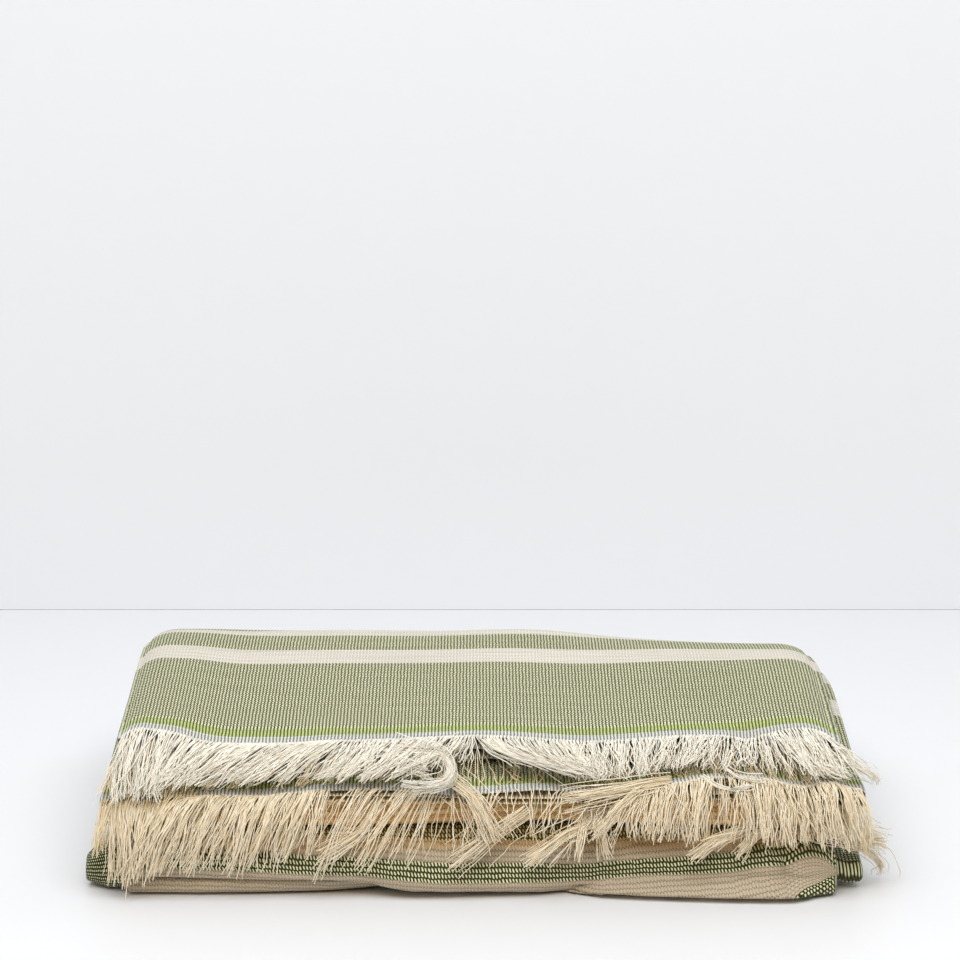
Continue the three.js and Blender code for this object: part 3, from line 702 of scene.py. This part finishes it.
def bundle(knots, count, widths, rng, points=13, spill=0.16):
    """Threads laid along a given line; widths are the bundle's radii at its start, middle and end."""
    knots = np.array(knots, float)
    padded = np.vstack([2 * knots[0] - knots[1], knots, 2 * knots[-1] - knots[-2]])
    length = 1 - np.abs(rng.normal(0, spill, count))
    place = np.linspace(0, 1, points)[None, :] * length[:, None] * (len(knots) - 1)
    k = np.clip(place.astype(int), 0, len(knots) - 2)
    f = (place - k)[:, :, None]
    q0, q1, q2, q3 = (padded[k + m] for m in range(4))
    path = 0.5 * (2 * q1 + (q2 - q0) * f + (2 * q0 - 5 * q1 + 4 * q2 - q3) * f ** 2
                  + (3 * q1 - q0 - 3 * q2 + q3) * f ** 3)
    along_path = np.gradient(path, axis=1)
    along_path /= np.linalg.norm(along_path, axis=2)[:, :, None]
    side = np.cross(along_path, [0, -0.9, 0.43])
    side /= np.maximum(np.linalg.norm(side, axis=2), 1e-6)[:, :, None]
    rise = np.cross(side, along_path)
    angle = rng.uniform(0, TURN, count)[:, None] + rng.normal(0, 1.2, count)[:, None] * place / len(knots)
    spread = np.abs(rng.normal(0, 0.62, count)) * np.where(rng.random(count) < 0.14, 2.2, 1)
    off = spread[:, None] * np.interp(place / (len(knots) - 1), [0, 0.5, 1], widths)
    path += side * (off * np.cos(angle))[:, :, None] + rise * (0.55 * off * np.sin(angle))[:, :, None]
    path += rng.normal(0, 0.9, (count, 3))[:, None] * ((place / (len(knots) - 1)) ** 3)[:, :, None]
    waves(path, LOOSE_LENGTH, rng, (0.1, 0.8), (9, 20), np.arange(count))
    path[:, :, 2] = np.maximum(path[:, :, 2], ABOVE_TABLE)
    return path


def yarn_piece(name, groups, rng, finish, radius=YARN_RADIUS):
    """One joined mesh of three-sided threads along the paths, which may differ in their point counts."""
    corners, faces, threads = [], [], []
    total = 0
    for paths in groups:
        count, points = paths.shape[:2]
        run = np.gradient(paths, axis=1)
        run /= np.linalg.norm(run, axis=2)[:, :, None]
        side = np.array([1.0, 0, 0]) - run * run[:, :, :1]
        side /= np.maximum(np.linalg.norm(side, axis=2), 1e-6)[:, :, None]
        up = np.cross(run, side)
        size = radius * rng.uniform(0.65, 1.3, (count, 1)) * np.linspace(1.05, 0.8, points)[None, :]
        spin = rng.uniform(0, TURN, (count, 1))
        ring = [
            paths + size[:, :, None] * (side * np.cos(spin + TURN * k / 3)[:, :, None]
                                        + up * np.sin(spin + TURN * k / 3)[:, :, None])
            for k in range(3)
        ]
        corners.append(np.stack(ring, axis=2).reshape(-1, 3))
        base = total + (np.arange(count) * points * 3)[:, None, None]
        step = (np.arange(points - 1) * 3)[None, :, None]
        k = np.arange(3)[None, None, :]
        nxt = (k + 1) % 3
        quads = [base + step + k, base + step + nxt, base + step + 3 + nxt, base + step + 3 + k]
        quads = np.stack(quads, axis=3)
        faces.append(quads.reshape(-1, 4))
        tone_at = np.repeat(rng.random(count) * 40, points * 3)
        place = np.tile(np.repeat(np.linspace(0, 1, points), 3), count)
        threads.append(np.stack([tone_at, place], axis=1))
        total += count * points * 3
    corners, faces, threads = np.concatenate(corners), np.concatenate(faces), np.concatenate(threads)
    mesh = bpy.data.meshes.new(name)
    mesh.vertices.add(total)
    mesh.vertices.foreach_set("co", ((corners + ORIGIN) * MM).ravel())
    mesh.loops.add(faces.size)
    mesh.loops.foreach_set("vertex_index", faces.ravel().astype(np.int32))
    mesh.polygons.add(len(faces))
    mesh.polygons.foreach_set("loop_start", np.arange(len(faces), dtype=np.int32) * 4)
    mesh.polygons.foreach_set("use_smooth", np.ones(len(faces), dtype=bool))
    layer = mesh.uv_layers.new(name="yarn")
    layer.data.foreach_set("uv", threads[faces.ravel()].ravel())
    mesh.update(calc_edges=True)
    mesh.materials.append(finish)
    piece = bpy.data.objects.new(name, mesh)
    bpy.context.collection.objects.link(piece)
    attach(piece, "root")
    return piece


rng = np.random.default_rng(11)
upper_line = end_line(folded[0], folded[2])
# root x, sideways sweep of the tip, lateness of the sweep, tip y, tip z, share of threads
UPPER_LAY = (
    (-174, -1, 1.2, -108, 41, 1), (-155, -2.1, 1.2, -109, 42, 1), (-142, -4.1, 1.2, -109, 43, 1),
    (-139, -9.3, 1.2, -107, 45, 1), (-119, -19.7, 1.2, -105, 47.5, 1), (-103, -25, 1.15, -104, 48, 0.95),
    (-72, -25, 1.15, -104, 49, 0.9), (-63, -21, 1.3, -104, 49, 0.85), (-58, -11.4, 1.6, -103, 50, 1),
    (-46, -13.5, 1.6, -104, 50.5, 1), (-35, -16.6, 1.5, -104, 50, 1), (-23, -21, 1.3, -105, 51, 0.9),
    (-9.3, -12.4, 1.3, -100, 53, 0.8), (-3.1, -4.1, 1.3, -95, 55, 0.8), (-1, 25, 2.6, -100, 55, 1),
    (6.2, 32, 2.6, -103, 54, 1), (21, 23, 2.4, -104, 53.5, 1), (39, 9.3, 1.8, -104, 51.5, 1),
    (50, 0, 1.2, -104, 50.5, 1), (75, -1, 1.2, -103, 51.5, 1), (81, -6.2, 1.2, -100, 53, 1),
    (107, -6.2, 1.2, -97, 54.5, 0.85), (114, -2.1, 1.2, -98, 54, 0.7), (126, -2.1, 1.2, -99, 53, 0.8),
    (131, 7.2, 1.2, -101, 52, 1), (144, 8.3, 1.3, -102, 51, 1), (151, 10.3, 1.3, -103, 50.5, 1),
    (172, 12.4, 1.2, -102, 50, 1),
)
paths = [
    combed(upper_line, panel_span(0), UPPER_LAY, rng, 2, (4, 9), (0.2, 0.6), (0, 1.2), 1.6),
    combed(upper_line, panel_span(0), UPPER_LAY, rng, 3, (2.5, 7), (0.4, 0.9), (1, 3.4), 3.0),
    combed(upper_line, panel_span(0), UPPER_LAY, rng, 1, (1, 3), (0.0, 0.9), (2, 5.5), 6.5),
]
upper = yarn_piece("fringe_upper_front", paths, rng, lit_yarn)
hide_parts("fringe_upper")
UPPER_INNER_LAY = (
    (-175, -6, 1.2, -103, 42, 1), (-60, -10, 1.2, -97, 46, 0.5), (0, 2, 1.2, -97, 46, 0.25),
    (60, 2, 1.2, -97, 46, 0.4), (175, 4, 1.2, -98, 46, 0.8),
)
paths = [
    combed(upper_line, panel_span(panel), UPPER_INNER_LAY, rng, 2, (3, 8), (0.3, 0.9), (0, 1.2), 2.4)
    for panel in (1, 2)
]
upper_inner = yarn_piece("fringe_upper_inner", paths, rng, yarn_with_deep_painted_shade)
# a long hank that doubles back in a loop, and a few crossing wisps
paths = [
    bundle(((-38, -87, 57), (-32, -91, 57.6), (-26, -92, 58), (-21, -92, 58.2), (-16.5, -94, 57.4),
            (-13.4, -99, 55), (-13.2, -104, 52.6), (-16, -108, 50.6), (-21, -110, 49.8),
            (-27, -111, 49.8), (-35, -110, 50.8)), 84, (3.2, 1.8, 2.6), rng, 21, 0.1),
    bundle(((-8, -82, 60), (-17, -90, 58), (-28, -99, 55.5), (-40, -105, 51.4)), 30, (3, 2.2, 3.6), rng),
    bundle(((-50, -85, 58.5), (-40, -92, 57.5), (-31, -99, 55), (-20, -104, 52.6)), 22, (3, 2.4, 3.6), rng),
    bundle(((136, -78, 59.5), (142, -88, 57.5), (151, -97, 54), (163, -102, 51)), 40, (3, 2, 4), rng),
    bundle(((156, -86, 57), (165, -94, 54), (172, -95, 50.5), (177, -95, 46.5)), 34, (3, 2.2, 2.4), rng),
    bundle(((98, -100, 50.4), (104, -106, 48), (112, -108, 47), (121, -106, 48)), 10, (1.6, 1, 1.6), rng),
    bundle(((112, -88, 56), (108, -96, 54), (116, -102, 50), (128, -104, 49)), 10, (1.6, 1, 1.6), rng),
]
upper_wisps = yarn_piece("fringe_upper_wisps", paths, rng, lit_yarn)

# The lower fringe: the warp ends of the other cut end, under the first. They hang down over
# the front folds in separate locks, which part here and there and show the folds behind.
# the yarn with painted shade and painted warm bounce light, for the lower fringe in the shade of the upper
# one
yarn_with_painted_shade = yarn_finish("loose warp yarn in the shade", (0.86, 0.70, 0.46, 1), (0.98, 0.93, 0.78, 1))
lower_line = end_line(folded[-1], folded[-3])
LOWER_LAY = (
    (-177, 0, 1.2, -117, 8, 1), (-166, 0, 1.2, -118, 7, 1), (-145, -2.1, 1.3, -119, 7, 1),
    (-142, -9.4, 1.3, -119, 10, 1), (-123, -13.5, 1.3, -119, 12, 1), (-110, -14.5, 1.3, -119, 14, 1),
    (-106, -13.5, 1.4, -119, 14, 0.35), (-104, -11.4, 1.4, -119, 14, 1), (-81, -11.4, 1.4, -119, 14, 0.9),
    (-77, -9.4, 1.4, -119, 20, 0.8), (-66, -9.4, 1.4, -118, 21, 0.5), (-64, -9.4, 1.4, -117, 24, 0.06),
    (-57, -12.5, 1.3, -117, 20, 0.06), (-56, -16.6, 1.3, -119, 11, 0.6), (-44, -17.7, 1.3, -119, 12, 0.6),
    (-42, -15.6, 1.4, -118, 20, 0.05), (-36, -18.7, 1.4, -118, 14, 0.15), (-34, -22, 1.4, -119, 12, 0.65),
    (-26, -22, 1.4, -119, 12, 0.6), (-24, -12.5, 1.4, -119, 16, 0.3), (-12.5, -10.4, 1.4, -118, 17, 0.3),
    (-10.4, 9.4, 1.3, -118, 25, 0.6), (-1, 10.4, 1.3, -118, 25, 0.6), (1, -9.4, 1.4, -119, 16, 0.25),
    (8.3, -8.3, 1.4, -118, 20, 0.25), (10.4, -1, 1.2, -117, 27, 0.14), (33, 1, 1.2, -117, 27, 0.18),
    (35, -6.2, 1.4, -116, 30, 0.12), (64, -12.5, 1.4, -117, 30, 0.16), (68, -10.4, 1.3, -118, 30, 0.8),
    (77, -3.1, 1.2, -118, 28, 1), (101, -3.1, 1.2, -118, 26, 1), (104, 0, 1.2, -117, 31, 0.4),
    (112, 2.1, 1.2, -117, 31, 0.35), (115, 1, 1.2, -118, 27, 0.9), (154, 2.1, 1.2, -118, 24, 1),
    (164, 7.3, 1.2, -116, 26, 1), (177, 10.4, 1.2, -113, 28, 1),
)
paths = [
    combed(lower_line, panel_span(2), LOWER_LAY, rng, 2, (3, 7), (0.2, 0.7), (0, 1.6), 1.4),
    combed(lower_line, panel_span(2), LOWER_LAY, rng, 3, (2.5, 7), (0.5, 1.0), (1, 3.6), 2.6),
    combed(lower_line, panel_span(2), LOWER_LAY, rng, 1, (1, 3), (0.0, 0.9), (2, 5), 6.0),
    bundle(((84, -98, 47.4), (76, -103, 48), (68, -106, 47.6), (58, -108, 46.4), (47, -109, 45),
            (35, -109, 42.6)), 76, (2.4, 2.4, 3.2), rng, 13, 0.12),
    bundle(((75, -101, 46), (66, -110, 44), (57, -116, 37), (50, -119, 28)), 46, (3, 2.4, 4.4), rng, 11),
]
lower = yarn_piece("fringe_lower_front", paths, rng, yarn_with_painted_shade)
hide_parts("fringe_lower")
LOWER_INNER_LAY = (
    (-175, -4, 1.2, -112, 18, 1), (-80, -8, 1.2, -112, 20, 0.8), (-64, -8, 1.2, -112, 20, 0.15),
    (60, 0, 1.2, -111, 24, 0.12), (76, 0, 1.2, -111, 24, 0.5), (98, 2, 1.2, -112, 22, 0.5),
    (104, 2, 1.2, -112, 22, 0.15), (114, 2, 1.2, -112, 22, 0.15), (120, 2, 1.2, -112, 22, 0.6),
    (175, 4, 1.2, -110, 20, 1),
)
paths = [combed(lower_line, panel_span(panel), LOWER_INNER_LAY, rng, 2, (3, 8), (0.3, 0.9), (0, 1), 2.4)
         for panel in (1, 0)]
lower_inner = yarn_piece("fringe_lower_inner", paths, rng, yarn_with_deep_painted_shade)
# tufts that come out between the folds below the others
tufts = (
    (((48, -94, 39), (47, -104, 35), (44.7, -111, 31), (43, -116, 25), (41, -119, 17.5)), 36, (2.4, 2.6, 4)),
    (((50, -94, 39), (51, -104, 35), (52.6, -111, 31), (54.2, -116, 25), (56, -119, 17.5)),
     36, (2.4, 2.6, 4)),
    (((57, -95, 36), (50, -107, 32), (37.6, -114, 28), (29, -118, 23), (19.5, -120, 16)),
     56, (2.6, 2.6, 4.4)),
    (((125, -94, 33), (119, -105, 29), (108.6, -113, 27.5), (99.6, -117, 23.5), (92, -119, 18)),
     56, (2.8, 2.8, 4.8)),
    (((131, -94, 32), (126, -105, 29), (118, -113, 25), (112, -118, 19)), 40, (2.8, 2.4, 4)),
    (((150, -103, 29), (163, -106, 26), (174, -103, 22.5), (181, -100, 18.5)), 70, (4, 4, 5)),
    (((163, -101, 21), (172, -99, 16), (178, -98, 10), (178, -97, 3.4)), 30, (2.8, 2.4, 3.4)),
    (((-15, -94, 51), (-12, -101, 49), (-3.5, -110, 45), (2.6, -116, 36), (7, -118, 26)), 40, (3.4, 2.6, 4)),
    (((28, -92, 41), (20, -104, 36), (8, -112, 30), (-4, -118, 22), (-14, -120, 15)), 40, (3, 3, 5)),
    (((-40, -92, 42), (-46, -104, 38), (-52, -112, 30), (-62, -117, 24), (-72, -119, 18)), 30, (3, 3, 5)),
)
paths = [bundle(knots, count, widths, rng, 11) for knots, count, widths in tufts]
lower_tufts = yarn_piece("fringe_lower_tufts", paths, rng, yarn_with_painted_shade)

# The table top and the wall behind it: plain, white, a little glossy underfoot.
bpy.ops.object.select_all(action="DESELECT")
bpy.ops.mesh.primitive_plane_add(size=1, location=(0, 0, 0))
floor = bpy.context.object
floor.name = "floor"
floor.scale = (6, 4, 1)
floor.location = (0, -1.59, -0.0002)
bpy.ops.object.transform_apply(location=True, rotation=True, scale=True)
bpy.ops.mesh.primitive_plane_add(size=1, rotation=(math.radians(90), 0, 0))
wall = bpy.context.object
wall.name = "backdrop"
wall.scale = (6, 2.4, 1)
wall.location = (0, 0.41, 1.2)
bpy.ops.object.transform_apply(location=True, rotation=True, scale=True)
for piece, colour, roughness in ((floor, (0.80, 0.82, 0.86, 1), 0.45), (wall, (0.785, 0.83, 0.89, 1), 0.9)):
    paint = bpy.data.materials.new(piece.name + " white")
    paint.use_nodes = True
    coat = paint.node_tree.nodes["Principled BSDF"]
    coat.inputs["Base Color"].default_value = colour
    coat.inputs["Roughness"].default_value = roughness
    coat.inputs["Emission Color"].default_value = (1, 1, 1, 1)
    coat.inputs["Emission Strength"].default_value = 0.1 if piece is wall else 0
    piece.data.materials.append(paint)

# Cool daylight from a wide lamp overhead, warmer light from a screen high in front, and a dim
# warm sky all round.
bpy.ops.object.light_add(type="AREA", location=(0, -0.75, 1.5))
lamp = bpy.context.object
lamp.name = "overhead_softbox"
lamp.data.shape = "RECTANGLE"
lamp.data.size, lamp.data.size_y = 2.2, 1.6
lamp.data.energy = 32
lamp.data.color = (0.92, 0.96, 1)
bpy.ops.object.light_add(type="AREA", location=(0, -1.9, 1.7), rotation=(math.radians(48), 0, 0))
screen = bpy.context.object
screen.name = "front_screen"
screen.data.shape = "RECTANGLE"
screen.data.size, screen.data.size_y = 2.4, 1.0
screen.data.energy = 15
screen.data.color = (1, 0.72, 0.41)
world = bpy.data.worlds.new("pale sky")
bpy.context.scene.world = world
world.use_nodes = True
world.node_tree.nodes["Background"].inputs["Color"].default_value = (1, 0.89, 0.72, 1)
world.node_tree.nodes["Background"].inputs["Strength"].default_value = 0.17
bpy.context.scene.view_settings.view_transform = "Standard"

bpy.ops.object.select_all(action="DESELECT")
